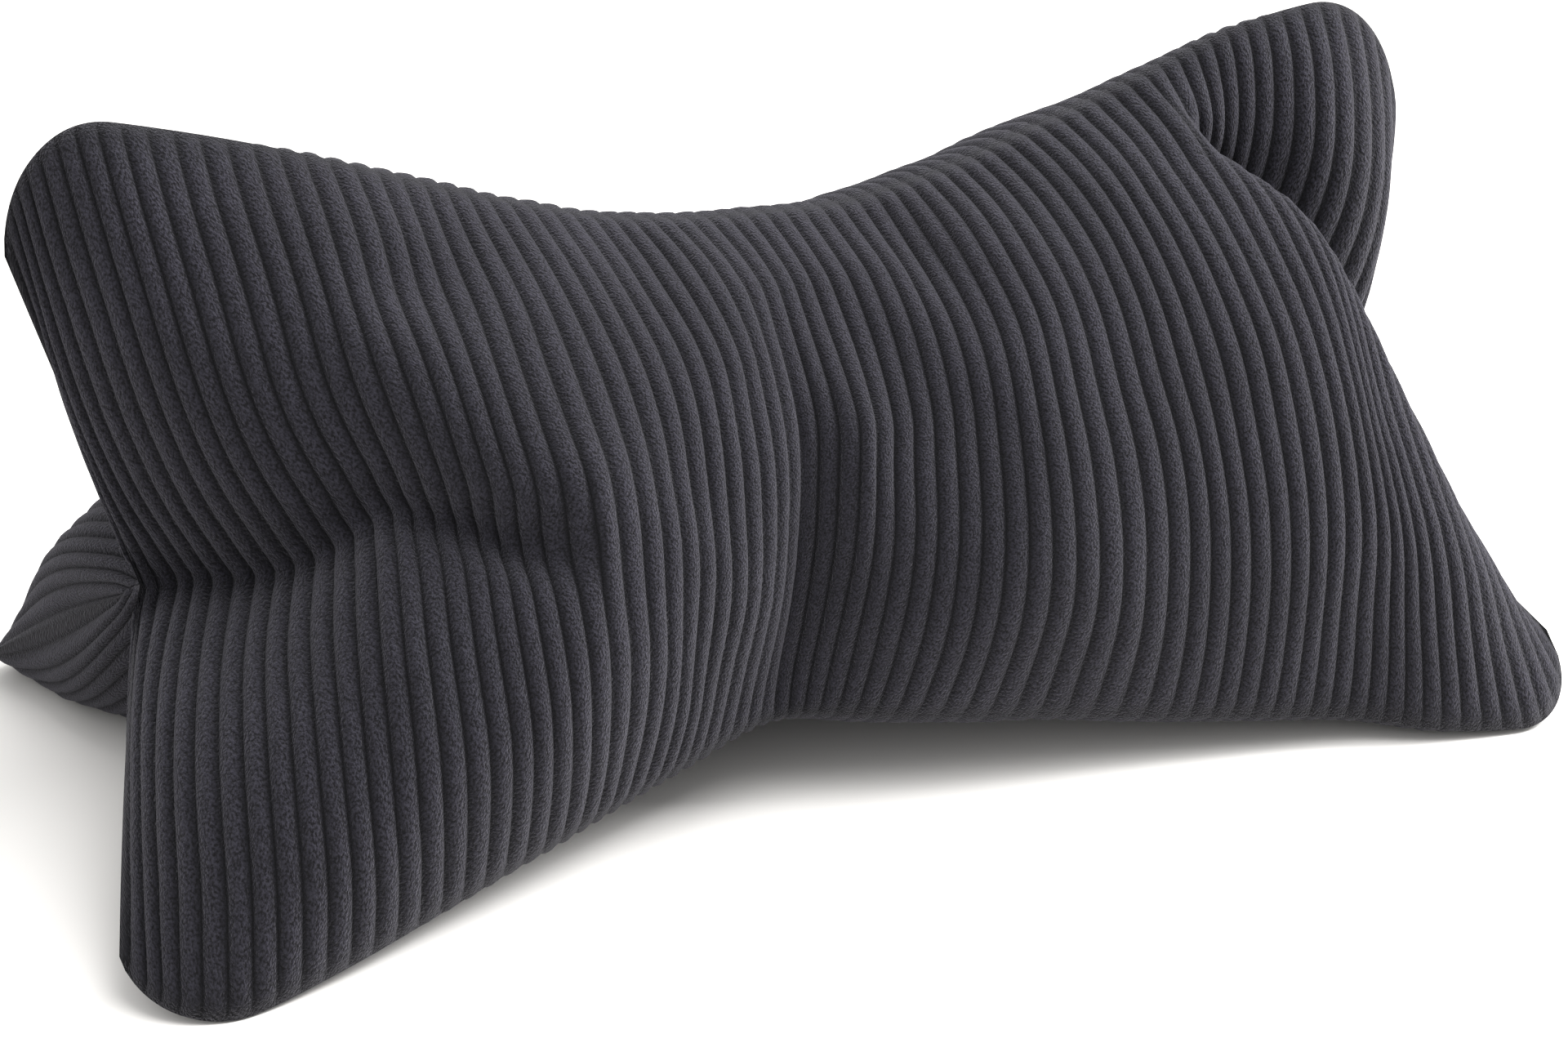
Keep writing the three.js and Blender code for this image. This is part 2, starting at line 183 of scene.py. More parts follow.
# crown: from the axis to the panel's middle, upper and lower: how full each half is,
# ease and draw: cloth moved along X at mid panel and beside a crease.
SECTION_COLUMNS = ("p", "crown", "upper", "lower", "ease", "draw")
FRONT_SECTIONS = [
    (-222, 68, 0.9, 2.0, 0, 30),
    (-200, 84, 0.85, 2.2, 0, 32.5),
    (-184, 95, 0.85, 2.5, 0, 30.5),
    (-166, 102, 0.85, 2.7, -1, 24.5),
    (-148, 103, 0.9, 2.8, -1, 17),
    (-124, 102, 1.1, 3.0, -1, 8.5),
    (-100, 100, 1.2, 3.1, -1, 1.5),
    (-76, 93, 1.6, 2.8, 4, 0),
    (-52, 88.5, 1.9, 2.4, 5.5, 0),
    (-30, 86.5, 2.0, 2.1, 6, 0),
    (-13, 85.5, 1.7, 1.8, 5, 0),
    (8, 85.5, 1.5, 2.3, 4, 0),
    (30, 87, 1.8, 2.8, 3.5, 0),
    (55, 91, 2.2, 3.0, 2, 0),
    (80, 91, 2.6, 2.8, 2, 0),
    (103, 93, 2.5, 2.3, 1.5, 0),
    (127, 96, 2.0, 2.1, 2, 1),
    (150, 94, 2.1, 2.2, 2, 0),
    (175, 86.5, 2.1, 2.8, -3, -7),
    (200, 76, 2.0, 3.8, -5, -17),
    (222, 66, 2.0, 4.0, 0, -24),
]
PLAIN_SECTIONS = [
    (-222, 65, 4.0, 1.9, 0, 26),
    (-200, 72, 3.4, 2.0, 0, 24),
    (-175, 84, 2.5, 2.0, 0, 18),
    (-145, 95, 2.1, 2.1, 0, 9),
    (-110, 94, 2.2, 2.2, 0, 0.6),
    (-70, 88, 2.1, 2.1, 0, 0),
    (-35, 83, 2.0, 2.0, 0, 0),
    (0, 81, 2.0, 2.0, 0, 0),
    (35, 83, 2.0, 2.0, 0, 0),
    (70, 88, 2.1, 2.1, 0, 0),
    (110, 94, 2.2, 2.2, 0, -0.6),
    (145, 95, 2.1, 2.1, 0, -9),
    (175, 90, 2.0, 2.0, 0, -18),
    (200, 80, 2.0, 2.0, 0, -24),
    (222, 66, 1.9, 1.9, 0, -26),
]

BASE_SECTIONS = [
    (-222, 70, 1.9, 6.0, 0, 26),
    (-200, 71, 1.9, 5.0, 0, 24),
    (-175, 76, 1.8, 2.6, 0, 18),
    (-145, 77, 1.7, 1.7, 0, 9),
    (-110, 76, 1.5, 1.5, 0, 0.6),
    (-70, 73, 1.35, 1.35, 0, 0),
    (-35, 71, 1.2, 1.2, 0, 0),
    (0, 70, 1.1, 1.1, 0, 0),
    (35, 71, 1.2, 1.2, 0, 0),
    (70, 73, 1.35, 1.35, 0, 0),
    (110, 76, 1.5, 1.5, 0, -0.6),
    (145, 77, 1.7, 1.7, 0, -9),
    (175, 76, 1.8, 1.8, 0, -18),
    (200, 72, 1.9, 1.9, 0, -24),
    (222, 66, 1.9, 1.9, 0, -26),
]

# floor: from the axis to the bottom of a crease, place: of the crease across the panel,
# above and below: how far its two flanks reach, over and under: how far the cloth is drawn along with it.
CREASE_COLUMNS = ("p", "floor", "place", "above", "below", "over", "under")
FRONT_CREASES = [
    [
        (-222, 0, 0, 50, 30, 38, 42),
        (-205, 10, -1, 48, 34, 38, 42),
        (-184, 28, -5, 46, 38, 34, 38),
        (-166, 47, -5.5, 44, 40, 29, 36),
        (-152, 61, -2, 40, 40, 26, 35),
        (-141, 69, 1, 34, 38, 23, 33),
        (-130, 76, -3, 28, 34, 20, 30),
        (-119, 82, -8, 24, 28, 18, 25),
        (-108, 88, -14.5, 22, 21, 17, 19),
        (-97, 92, -18, 20, 16, 16, 15),
        (-85, 97, -19.5, 18, 13, 15, 13),
    ],
    [
        (112, 86, 92, 14, 9, 13, 10),
        (130, 74, 82, 18, 9, 15, 10.5),
        (145, 62, 72, 21, 9, 16, 11),
        (160, 49, 61, 25, 9, 18, 11),
        (175, 36, 45, 28, 11.5, 19.5, 12),
        (190, 22, 27, 28, 20, 20, 16),
        (205, 10, 11, 28, 30, 20, 21),
        (222, 0, 0, 28, 36, 20, 24),
    ],
]
PLAIN_CREASES = [
    [
        (-222, 0, 0, 46, 48, 29, 30),
        (-205, 11, 0, 43, 46, 27.5, 29),
        (-185, 28, 0, 38, 41, 25, 26.5),
        (-165, 47, 0, 32, 34, 22, 23),
        (-145, 66, 0, 25, 25, 18.5, 18.5),
        (-125, 82, 0, 19, 19, 15.5, 15.5),
        (-105, 94, 0, 15, 15, 13.5, 13.5),
    ],
    [
        (105, 94, 0, 15, 15, 13.5, 13.5),
        (125, 82, 0, 19, 19, 15.5, 15.5),
        (145, 66, 0, 24, 24, 18, 18),
        (165, 46, 0, 30, 30, 21, 21),
        (185, 26, 0, 35, 35, 23.5, 23.5),
        (205, 10, 0, 38, 38, 25, 25),
        (222, 0, 0, 40, 40, 26, 26),
    ],
]


def turned_over(rows):
    """The same crease with its two flanks exchanged."""
    return [
        (p, floor, -place, below, above, under, over)
        for p, floor, place, above, below, over, under in rows
    ]


BASE_CREASES = [turned_over(PLAIN_CREASES[0]), PLAIN_CREASES[1]]

# The fold across the waist. p: where it runs, low and high: its ends across the panel, depth, left and
# right: how far its two flanks reach.
FOLD_COLUMNS = ("p", "low", "high", "depth", "left", "right")
WAIST_FOLD = dict(zip(FOLD_COLUMNS, (-15, -73, 46, 15, 17, 30)))

# Soft swells and hollows of the front panel. p and across: the middle, along and over: the reach both ways.
SWELL_COLUMNS = ("p", "across", "along", "over", "rise")
SWELL_ROWS = [
    (-116, 56, 16, 14, -3),
    (-86, -4, 14, 14, 3),
    (3, -8, 7, 26, 3),
    (39, 52, 9, 16, -2.5),
]
FRONT_SWELLS = [dict(zip(SWELL_COLUMNS, values)) for values in SWELL_ROWS]

# facing: direction of the panel's face, in degrees from +Y towards +Z, low and high: its seams.
# rims: cloth that the panel needs to puff up from its left and from its right end edge, holds: cloth that
# each end edge holds in place.
PANEL_COLUMNS = ("facing", "low", "high", "rims", "holds", "sections", "creases", "folds", "swells")
PANEL_ROWS = [
    (150, "front", "top", (52, 36), (15, 30), FRONT_SECTIONS, FRONT_CREASES, [WAIST_FOLD], FRONT_SWELLS),
    (30, "top", "back", (28, 36), (30, 30), PLAIN_SECTIONS, PLAIN_CREASES, [], []),
    (270, "back", "front", (26, 36), (36, 30), BASE_SECTIONS, BASE_CREASES, [], []),
]
PANELS = [dict(zip(PANEL_COLUMNS, values)) for values in PANEL_ROWS]


def curve_through(rows, names, name, p):
    """One column of a table as a smooth curve, read at p: a cubic between stations, whose slope at each
    station is the mean of the slopes beside it, weighted towards the shorter span."""
    table = np.asarray(rows, float)
    at, value = table[:, 0], table[:, names.index(name)]
    span = np.diff(at)
    rise = np.diff(value) / span
    inner = (rise[:-1] * span[1:] + rise[1:] * span[:-1]) / (span[1:] + span[:-1])
    slope = np.concatenate([rise[:1], inner, rise[-1:]])
    p = np.clip(p, at[0], at[-1])
    i = np.clip(np.searchsorted(at, p, side="right") - 1, 0, len(at) - 2)
    s = (p - at[i]) / span[i]
    return (
        value[i] * (1 + 2 * s) * (1 - s) ** 2
        + span[i] * slope[i] * s * (1 - s) ** 2
        + value[i + 1] * s * s * (3 - 2 * s)
        + span[i] * slope[i + 1] * s * s * (s - 1)
    )


def ear_value(name, column, p):
    """One value of the left or the right ear on a seam, whichever side p is on."""
    left, right = (row[EAR_COLUMNS.index(column)] for row in EARS[name])
    return np.where(p < 0, left, right)


def seam_line(name, p):
    """A seam's radius and place: its table's radius, less a quarter of an ellipse at each ear's corner."""
    rows = SEAMS[name]
    x = curve_through(rows, SEAM_COLUMNS, "x", p)
    reach = np.where(p < 0, rows[0][2], rows[-1][2])
    turn = np.clip(1 - np.abs(reach - x) / ear_value(name, "wide", p), 0, 1)
    radius = curve_through(rows, SEAM_COLUMNS, "radius", p)
    return radius - ear_value(name, "high", p) * (1 - np.sqrt(1 - turn**2)), x


def puff_at(panel, p):
    """How far the cloth is puffed up: 0 at an end edge, 1 beyond the panel's rim, steep at the edge."""
    reach = np.where(p < 0, *panel["rims"])
    from_end = np.clip((HALF_CLOTH - np.abs(p)) / reach, 0, 1)
    return (1 - (1 - from_end) ** 2) ** RIM_POWER


def puffed(panel, p, v):
    """The panel before its creases, as distances across and out of its face: a chord between its seams plus
    a dome 1 - |v|^power, giving way at each end to straight lines from the axis to the seams."""
    high, _ = seam_line(panel["high"], p)
    low, _ = seam_line(panel["low"], p)
    up, down, side = (1 + v) / 2, (1 - v) / 2, np.abs(v)
    crown, upper, lower = (
        curve_through(panel["sections"], SECTION_COLUMNS, name, p)
        for name in ("crown", "upper", "lower")
    )
    chord = COS_TURN * (high * up + low * down)
    dome = (crown - COS_TURN * (high + low) / 2) * (1 - side ** np.where(v > 0, upper, lower))
    radius = np.where(v > 0, high, low) * side
    puff = puff_at(panel, p)
    across = puff * SIN_TURN * (high * up - low * down) + (1 - puff) * SIN_TURN * radius * np.sign(v)
    out = puff * (chord + dome) + (1 - puff) * COS_TURN * radius
    return across, out


def level_at(panel, p, place):
    """The level v of a place across the panel, from the two straight parts of puffed()'s distance across."""
    high, _ = seam_line(panel["high"], p)
    low, _ = seam_line(panel["low"], p)
    puff = puff_at(panel, p)
    offset = place - SIN_TURN * puff * (high - low) / 2
    edge = np.where(offset > 0, high, low)
    return offset / (SIN_TURN * (edge * (1 - puff) + puff * (high + low) / 2))


def creased(panel, p, v, across):
    """How deep the creases, folds and hollows lie below the puffed panel, and how near a crease is: each
    flank of a crease dies away as exp(-(distance / reach)^CREASE_POWER), and its bottom is pinched. A fold
    dies away as exp(-distance / reach), a swell or hollow as exp(-distance^2) in reaches."""
    fade = 1 - np.abs(v) ** SEAM_HOLD
    depth, near = np.zeros_like(p), np.zeros_like(p)
    for rows in panel["creases"]:
        inside = (p >= rows[0][0]) & (p <= rows[-1][0])
        floor, place, above, below, drawn_over, drawn_under = (
            curve_through(rows, CREASE_COLUMNS, name, p) for name in CREASE_COLUMNS[1:]
        )
        reach = np.where(across > place, above, below)
        drawn = np.where(across > place, drawn_over, drawn_under)
        away = np.hypot(across - place, CREASE_ROUND) - CREASE_ROUND
        _, over = puffed(panel, p, level_at(panel, p, place))
        full = np.maximum(0, over - floor) * inside
        pinch = np.minimum(CREASE_PINCH, full * PINCH_SHARE) * np.exp(-((away / PINCH_REACH) ** 2))
        depth += fade * (full * np.exp(-((away / reach) ** CREASE_POWER)) + pinch)
        near = np.where(inside, fade * np.exp(-away / drawn), near)
    for fold in panel["folds"]:
        reach = np.where(p < fold["p"], fold["left"], fold["right"])
        along = np.clip(FOLD_RUNOUT * (fold["high"] - across) / (fold["high"] - fold["low"]), 0, 1)
        run = np.sin(along * math.pi / 2)
        depth += fold["depth"] * fade * run * np.exp(-np.abs(p - fold["p"]) / reach)
    for swell in panel["swells"]:
        along = (p - swell["p"]) / swell["along"]
        over = (across - swell["across"]) / swell["over"]
        depth -= swell["rise"] * fade * np.exp(-(along**2) - over**2)
    return depth, near


def slid(panel, p, v):
    """Rows that follow the creases: the middle row lies in the crease, and the others close up towards
    it."""
    lead = np.zeros_like(p)
    for rows in panel["creases"]:
        at = np.clip(p, rows[0][0], rows[-1][0])
        level = level_at(panel, at, curve_through(rows, CREASE_COLUMNS, "place", at))
        lead += np.clip(level, -SLIDE_MOST, SLIDE_MOST) * np.clip(1 - np.abs(p - at) / SLIDE_REACH, 0, 1)
    return v + lead * (1 - np.abs(v)) ** np.where(v * lead < 0, 2, 1)


def smooth_cloth(panel, p, v):
    """Points of the smooth panel, in the part's frame and in millimetres, for arrays p and v of one shape."""
    across, out = puffed(panel, p, v)
    depth, near = creased(panel, p, v, across)
    _, high_x = seam_line(panel["high"], p)
    _, low_x = seam_line(panel["low"], p)
    ease = curve_through(panel["sections"], SECTION_COLUMNS, "ease", p) * (1 - v * v)
    draw = curve_through(panel["sections"], SECTION_COLUMNS, "draw", p) * near
    free = high_x * (1 + v) / 2 + low_x * (1 - v) / 2 + ease + draw
    notch = np.where(p < 0, -NOTCH_X[0], NOTCH_X[1])
    bow = np.where(v > 0, ear_value(panel["high"], "bow", p), ear_value(panel["low"], "bow", p))
    edge = notch + (np.where(v > 0, high_x, low_x) - notch) * np.abs(v) ** bow
    held = np.where(p < 0, *panel["holds"])
    hold = np.clip(1 - (HALF_CLOTH - np.abs(p)) / held, 0, 1) ** 2
    raised = np.maximum(out - depth, np.abs(across) * COS_TURN / SIN_TURN)
    facing = math.radians(panel["facing"])
    x = free * (1 - hold) + edge * hold - MIDDLE[0]
    y = raised * math.cos(facing) + across * math.sin(facing) - MIDDLE[1]
    z = raised * math.sin(facing) - across * math.cos(facing) + AXIS_HEIGHT
    return np.stack([x, y, z], axis=-1)


def outward(points):
    """Unit normals of a grid of points: the cross product of its two directions of growth."""
    along = np.gradient(points, axis=0)
    over = np.gradient(points, axis=1)
    normal = np.cross(along, over)
    return normal / np.maximum(np.linalg.norm(normal, axis=-1, keepdims=True), 1e-9)


def rib_height(p):
    """Height of the pile over a rib, from 0 in the groove to 1 at the crown: 1 - |2 o|^RIB_POWER, where o is
    the distance from the crown in ribs."""
    phase = ((p + HALF_CLOTH - FIRST_GROOVE) / WALE) % 1.0 - 0.5
    return 1 - np.abs(2 * phase) ** RIB_POWER


UNEVEN_SIZE = (600, 400)  # cloth that the random grids cover, along and across, with room to spare
UNEVEN_SPARE = 4


def uneven(p, s, step, seed):
    """Soft unevenness from -1 to 1: a seeded grid of random numbers, step apart, with cosine easing
    between."""
    cells = [int(size / step) + UNEVEN_SPARE for size in UNEVEN_SIZE]
    grid = np.random.default_rng(seed).uniform(-1, 1, cells)
    a, b = ((place + size / 2) / step for place, size in zip((p, s), UNEVEN_SIZE))
    i, j = a.astype(int), b.astype(int)
    f, g = (0.5 - 0.5 * np.cos(math.pi * (t - k)) for t, k in ((a, i), (b, j)))
    low = grid[i, j] * (1 - f) + grid[i + 1, j] * f
    high = grid[i, j + 1] * (1 - f) + grid[i + 1, j + 1] * f
    return low * (1 - g) + high * g


COLUMNS_A_WALE = (0.0, 0.12, 0.3, 0.5, 0.7, 0.88)  # from groove to groove
LAST_COLUMN = 0.3  # least cloth between the last column and the end edge
ROWS_A_HALF = 36
ROWS_CLOSER = 1.2  # above 1, rows lie closer together at mid panel
ROWS_SWAY = 0.04  # how much closer together they lie beside the seams


def cloth_columns():
    """Stations along the cloth: both end edges, and six to each rib, closer together beside the groove."""
    grooves = -HALF_CLOTH + FIRST_GROOVE + WALE * np.arange(-1, WALES + 1)
    p = (grooves[:, None] + WALE * np.array(COLUMNS_A_WALE)).ravel()
    p = p[np.abs(p) < HALF_CLOTH - LAST_COLUMN]
    return np.concatenate([[-HALF_CLOTH], p, [HALF_CLOTH]])


def cloth_rows():
    """Levels from seam to seam, closer together at mid panel, where the creases run, and beside the
    seams."""
    s = np.linspace(0, 1, ROWS_A_HALF + 1)
    half = s**ROWS_CLOSER + ROWS_SWAY * np.sin(2 * math.pi * s**2) * s
    half[-1] = 1
    return np.concatenate([-half[:0:-1], half])


def shared_numbers(nc, nr):
    """The number of the vertex that each point of three grids of nc columns and nr rows stands for: seam
    rows, folded end edges and notches are shared."""
    middle = nr // 2
    number = np.arange(3 * nc * nr).reshape(3, nc, nr)
    shared = np.arange(3 * nc * nr)
    for k in range(3):
        following = (k + 1) % 3
        shared[number[following, :, 0]] = number[k, :, -1]
        for end in (0, -1):
            shared[number[following, end, :middle]] = number[k, end, :middle:-1]
            shared[number[k, end, middle]] = number[0, end, middle]
    for end in (0, -1):
        shared[number[0, end, 0]] = number[2, end, -1]
    return shared[shared]


def closed_mesh(name, grids):
    """One closed mesh over three grids of points in millimetres, with the grid point of each of its vertices
    and of each corner of its faces."""
    _, nc, nr, _ = grids.shape
    number = np.arange(3 * nc * nr).reshape(3, nc, nr)
    a, b = number[:, :-1, :-1], number[:, 1:, :-1]
    c, d = number[:, 1:, 1:], number[:, :-1, 1:]
    corners = np.stack([a, b, c, d], axis=-1).reshape(-1, 4)
    used, faces = np.unique(shared_numbers(nc, nr)[corners], return_inverse=True)
    mesh = bpy.data.meshes.new(name)
    mesh.from_pydata(grids.reshape(-1, 3)[used] * MM, [], faces.reshape(-1, 4))
    return mesh, used, corners.ravel()


# The cloth simulation.
STUFFING_COLUMNS = 6  # fine columns, and fine rows, to one of the cloth that is simulated
STUFFING_ROWS = 3
STUFFING_FRAMES = 20
STUFFING_PRESSURE = 4.0
SHRINKAGE = -0.06  # below 0 the cloth is cut larger than the shape that it is held to, here by 6%
HELD_DEPTH = 10.0  # depth of a crease or fold, in millimetres, whose bottom the stuffing can't move
HELD_HEIGHT = 1.0  # cloth lower than this rests on the surface
PIN_STEPS = 10  # weights between free and held
MOST_PUCKER = 2.0
PUCKER_BLUR = 2  # passes that take out the coarse grid's own jitter
NEIGHBOURHOOD_BLUR = 14  # passes that leave only the mean of the neighbourhood


def held_shape():
    """The smooth cloth on three coarse grids, in millimetres, and how firmly each point is held, from 0 to
    1: seams, end edges, creases and folds and the underside are."""
    p, v = np.meshgrid(cloth_columns()[::STUFFING_COLUMNS], cloth_rows()[::STUFFING_ROWS], indexing="ij")
    grids, pins = [], []
    for panel in PANELS:
        level = slid(panel, p, v)
        grid = smooth_cloth(panel, p, level)
        across, _ = puffed(panel, p, level)
        depth, _ = creased(panel, p, level, across)
        held = np.maximum(np.clip(depth / HELD_DEPTH, 0, 1), grid[..., 2] < HELD_HEIGHT)
        held[:, [0, -1]] = 1
        held[[0, -1], :] = 1
        grids.append(grid)
        pins.append(held)
    grids = np.stack(grids)
    grids[..., 2] = np.maximum(grids[..., 2], 0)
    return grids, np.round(np.stack(pins) * PIN_STEPS) / PIN_STEPS


def stuffed_cloth():
    """How far the stuffing pushes the cloth off its smooth shape, in millimetres, on three coarse grids: the
    held cloth is blown up by pressure, without gravity."""
    grids, pins = held_shape()
    mesh, used, _ = closed_mesh("stuffed_cloth", grids)
    cloth = bpy.data.objects.new("stuffed_cloth", mesh)
    bpy.context.scene.collection.objects.link(cloth)
    pinned = cloth.vertex_groups.new(name="held")
    weights = pins.ravel()[used]
    for weight in np.unique(weights):
        pinned.add(np.flatnonzero(weights == weight).tolist(), float(weight), "REPLACE")
    settings = cloth.modifiers.new("stuffing", "CLOTH").settings
    settings.vertex_group_mass = "held"
    settings.use_pressure = True
    settings.uniform_pressure_force = STUFFING_PRESSURE
    settings.shrink_min = SHRINKAGE
    settings.effector_weights.gravity = 0
    for frame_number in range(1, STUFFING_FRAMES + 1):
        bpy.context.scene.frame_set(frame_number)
    blown = cloth.evaluated_get(bpy.context.evaluated_depsgraph_get()).data
    place = np.empty(3 * len(used))
    blown.vertices.foreach_get("co", place)
    bpy.data.objects.remove(cloth)
    bpy.data.meshes.remove(mesh)
    bpy.context.scene.frame_set(1)
    moved = grids.reshape(-1, 3).copy()
    moved[used] = place.reshape(-1, 3) / MM
    _, nc, nr, _ = grids.shape
    return moved[shared_numbers(nc, nr)].reshape(grids.shape) - grids


def between(values, places, axis):
    """Values on a coarse grid read at places between its lines, as a uniform cubic B-spline, which smooths
    them a little."""
    i = np.clip(places.astype(int), 0, values.shape[axis] - 2)
    f = places - i
    weights = ((1 - f) ** 3, 3 * f**3 - 6 * f**2 + 4, -3 * f**3 + 3 * f**2 + 3 * f + 1, f**3)
    shape = [1] * values.ndim
    shape[axis] = len(places)
    total = 0
    for step, weight in enumerate(weights):
        at = np.clip(i + step - 1, 0, values.shape[axis] - 1)
        total = total + np.take(values, at, axis=axis) * weight.reshape(shape) / 6
    return total


def blurred(values, passes):
    """Values on three coarse grids, each mixed with its neighbours along and across the cloth in each pass:
    half its own, a quarter of each."""
    for _ in range(passes):
        for axis in (1, 2):
            inner = [slice(None)] * 4
            inner[axis] = slice(1, -1)
            mixed = 0.5 * values + 0.25 * (np.roll(values, 1, axis=axis) + np.roll(values, -1, axis=axis))
            values = values.copy()
            values[tuple(inner)] = mixed[tuple(inner)]
    return values


def puckers():
    """The stuffed cloth's own unevenness on the fine grid: how far it moved, less the mean of its
    neighbourhood, so that the pillow keeps its outline, and never more than MOST_PUCKER."""
    moved = stuffed_cloth()
    own = blurred(moved, PUCKER_BLUR) - blurred(moved, NEIGHBOURHOOD_BLUR)
    length = np.linalg.norm(own, axis=-1, keepdims=True)
    own *= MOST_PUCKER / (MOST_PUCKER + length)
    columns, rows = cloth_columns(), cloth_rows()
    fine = between(own, np.arange(len(columns)) / STUFFING_COLUMNS, 1)
    return between(fine, np.arange(len(rows)) / STUFFING_ROWS, 2)


PANEL_GAP = 300  # from one panel to the next in the cloth's own coordinates, in millimetres


def drawn_in(points, depth):
    """Points moved towards the pillow's axis by a depth."""
    radial = points[..., 1:] - np.array([-MIDDLE[1], AXIS_HEIGHT])
    radial /= np.maximum(np.linalg.norm(radial, axis=-1, keepdims=True), 1e-6)
    drawn = points.copy()
    drawn[..., 1:] -= radial * depth[..., None]
    return drawn


def pillow_mesh():
    """The whole cloth: ribs rise and sink along the smooth cloth's normals, the seams are drawn in by
    SEAM_SINK exp(-(distance / SINK_REACH)^2), and the underside is pressed flat."""
    p, rows = np.meshgrid(cloth_columns(), cloth_rows(), indexing="ij")
    to_end = HALF_CLOTH - np.abs(p)
    end_fade = np.clip(to_end / END_FADE, 0, 1)
    height = rib_height(p)
    pushed = puckers()
    points, cloth, pile_shade_mask = [], [], []
    for k, panel in enumerate(PANELS):
        v = slid(panel, p, rows)
        s = v * HALF_PANEL
        to_seam = (1 - np.abs(v)) * HALF_PANEL
        wander = WANDER * uneven(p, s, WANDER_STEP, WANDER_SEED + k) * (1 - np.abs(v) ** WANDER_HOLD)
        smooth = smooth_cloth(panel, p + wander * np.clip(to_end / WANDER_END, 0, 1), v) + pushed[k]
        fade = np.clip(to_seam / SEAM_FADE, 0, 1) ** SEAM_FADE_POWER * end_fade
        pile_uneven = PILE_UNEVEN * uneven(p, s, PILE_STEP, PILE_SEED + k) * height
        relief = RIB_RELIEF * (height - 0.5) + pile_uneven
        ribbed = smooth + outward(smooth) * (relief * fade)[..., None]
        ribbed = drawn_in(ribbed, SEAM_SINK * np.exp(-((to_seam / SINK_REACH) ** 2)) * end_fade)
        ribbed[..., 2] = np.maximum(ribbed[..., 2], 0)
        points.append(ribbed)
        cloth.append(np.stack([p, s + PANEL_GAP * k], axis=-1))
        # The mask of the painted shade: 0 in the grooves and beside the seams and end edges, which the
        # material paints near-black, 1 on the crowns of the ribs.
        pile_shade_mask.append(height * fade)
    mesh, used, corners = closed_mesh("corduroy_pillow", np.stack(points))
    uv = mesh.uv_layers.new(name="cloth")
    uv.data.foreach_set("uv", (np.stack(cloth).reshape(-1, 2)[corners] * MM).ravel())
    mesh.attributes.new("pile_shade_mask", "FLOAT", "POINT").data.foreach_set("value", np.stack(pile_shade_mask).ravel()[used])
    mesh.shade_smooth()
    return mesh


def linear(hex_colour):
    """An sRGB hex value as linear red, green, blue and alpha."""
    values = [int(hex_colour[i : i + 2], 16) / 255 for i in (1, 3, 5)]
    return [c / 12.92 if c <= 0.04045 else ((c + 0.055) / 1.055) ** 2.4 for c in values] + [1.0]


def node(tree, kind, settings=None, **links):
    """Adds a node, sets its properties and sockets from settings, and links sockets named in links."""
    new = tree.nodes.new(kind)
    for name, value in (settings or {}).items():
        if isinstance(name, int) or name in new.inputs:
            new.inputs[name].default_value = value
        else:
            setattr(new, name, value)
    for name, source in links.items():
        socket = new.inputs[int(name[1:])] if name[1:].isdigit() else new.inputs[name.replace("_", " ")]
        tree.links.new(source, socket)
    return new


# Corduroy. Patterns are counted to a metre of cloth.
TUFTS = 1700.0  # tufts of pile, 0.6 mm across
CLUMPS = 500.0  # clumps of tufts, 2 mm across
PATCHES = 33.0  # brushed patches of nap, 30 mm across
TUFT_LEAN = math.radians(35)  # from along the rib
TUFT_STRETCH = (1.0, 0.7, 1.0)  # drawn out along their lean
CLUMP_SHARE = 0.25  # of the grain, and the tufts make the rest
TUFT_HEIGHT = 1.1 * MM
# Painted shade: the near-black groove colour is laid into the grooves between the ribs and over the cloth
# beside the seams and end edges.
GROOVE_SHADE_COLOUR = "#060608"
# Painted shadow and highlight of the tufts: the grain speckles the pile between the two colours below, dark
# where a tuft is shaded, light where its tip catches the light.
SHADED_TUFT_COLOUR = "#07060a"
LIT_TUFT_COLOUR = "#2a2931"
NAP_TINT = "#c9c7d2"


